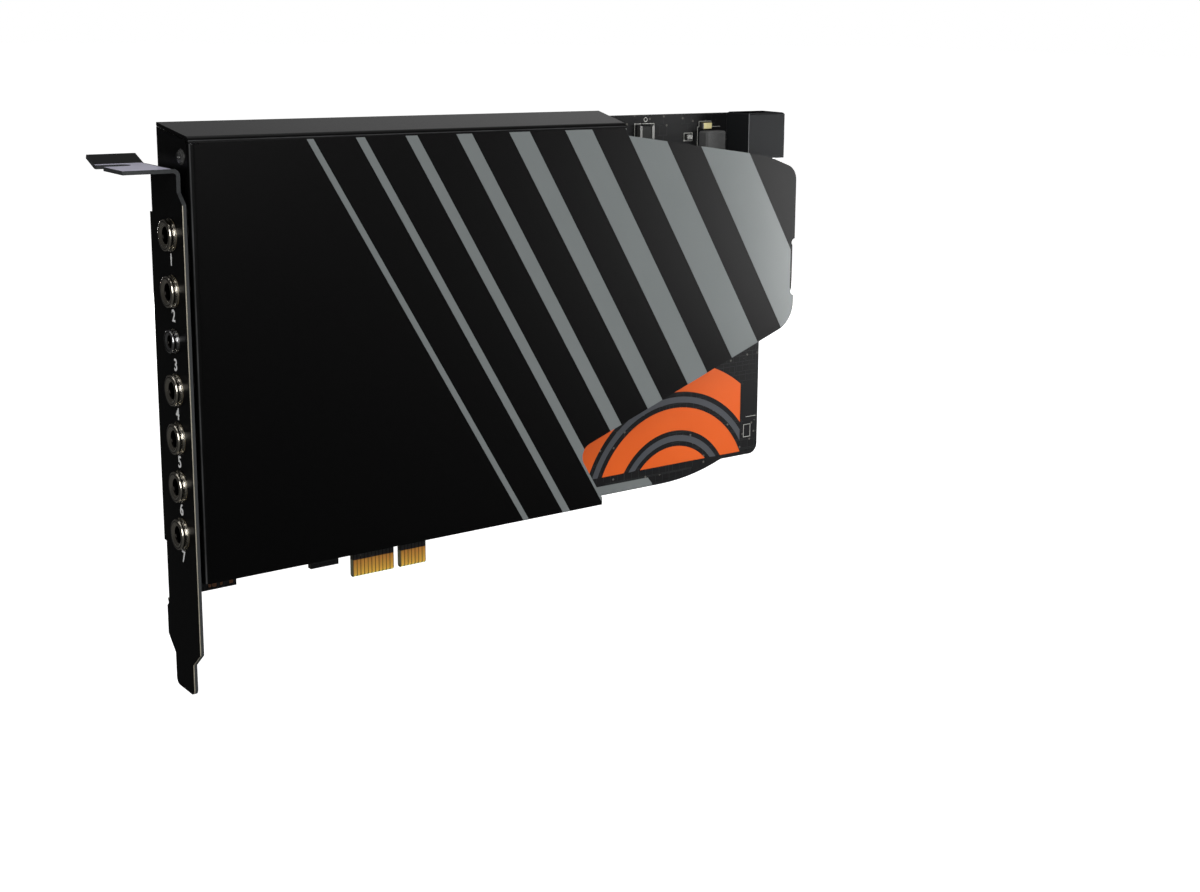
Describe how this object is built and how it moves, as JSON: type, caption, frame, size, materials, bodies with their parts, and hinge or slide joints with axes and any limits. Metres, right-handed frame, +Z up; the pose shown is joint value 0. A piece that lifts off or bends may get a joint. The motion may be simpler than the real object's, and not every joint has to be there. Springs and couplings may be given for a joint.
{
  "type": "sound card",
  "caption": "Upright sound card for an expansion slot: black board with gilded edge contacts, a folded steel shroud, a slot bracket with audio sockets and a power header.",
  "frame": {"origin": "middle of the key notch in the contact edge, on the edge itself, at half the board's thickness", "axes": "+X along the card away from the bracket, +Y from the component side to the solder side, +Z up"},
  "size_m": [0.1866, 0.0246, 0.1288],
  "materials": {
    "board_laminate": "satin black solder mask",
    "gilded_contact": "polished",
    "bracket_steel": "satin black paint with bare cut edges",
    "shroud_steel": "fine-textured black paint with grey print",
    "pale_nickel": "turned",
    "dark_nickel": "turned",
    "socket_plastic": "moulded",
    "spring_bronze": "plated strip",
    "emitter_resin": "clear dark",
    "header_plastic": "moulded",
    "tinned_metal": "tinned",
    "coil_resin": "pressed powder",
    "cream_resin": "moulded",
    "lamp_resin": "clear",
    "package_resin": "moulded",
    "can_aluminium": "drawn",
    "film_case": "moulded",
    "relay_case": "moulded",
    "plain_steel": "zinc plated",
    "black_screw": "blackened"
  },
  "bodies": {
    "root": {"circuit_board": "board_laminate", "edge_contacts_front": "gilded_contact", "edge_contacts_rear": "gilded_contact", "slot_bracket": "bracket_steel", "shroud": "shroud_steel", "optical_emitter": "emitter_resin", "power_header_housing": "header_plastic", "power_header_pins": "tinned_metal", "moulded_coil": "coil_resin", "input_fuse": "tinned_metal", "cream_capacitor": "cream_resin", "status_lamp": "lamp_resin", "audio_processor": "package_resin", "bus_bridge": "package_resin", "output_converter": "package_resin", "input_converter": "package_resin", "headphone_amplifier": "package_resin", "small_amplifiers": "package_resin", "electrolytic_capacitors": "can_aluminium", "film_capacitors": "film_case", "crystals": "can_aluminium", "voltage_regulators": "package_resin", "relays": "relay_case", "chip_resistors": "package_resin", "corner_block": "plain_steel", "flange_screw": "black_screw", "standoffs": "plain_steel", "standoff_screws": "plain_steel", "bracket_screws": "plain_steel", "jack_1_bushing": "pale_nickel", "jack_1_housing": "socket_plastic", "jack_1_springs": "spring_bronze", "jack_2_bushing": "pale_nickel", "jack_2_housing": "socket_plastic", "jack_2_springs": "spring_bronze", "jack_3_bushing": "dark_nickel", "jack_3_housing": "socket_plastic", "jack_3_springs": "spring_bronze", "jack_4_bushing": "pale_nickel", "jack_4_housing": "socket_plastic", "jack_4_springs": "spring_bronze", "jack_5_bushing": "pale_nickel", "jack_5_housing": "socket_plastic", "jack_5_springs": "spring_bronze", "jack_6_bushing": "pale_nickel", "jack_6_housing": "socket_plastic", "jack_6_springs": "spring_bronze", "jack_7_bushing": "pale_nickel", "jack_7_housing": "socket_plastic", "jack_7_springs": "spring_bronze"}
  },
  "joints": []
}
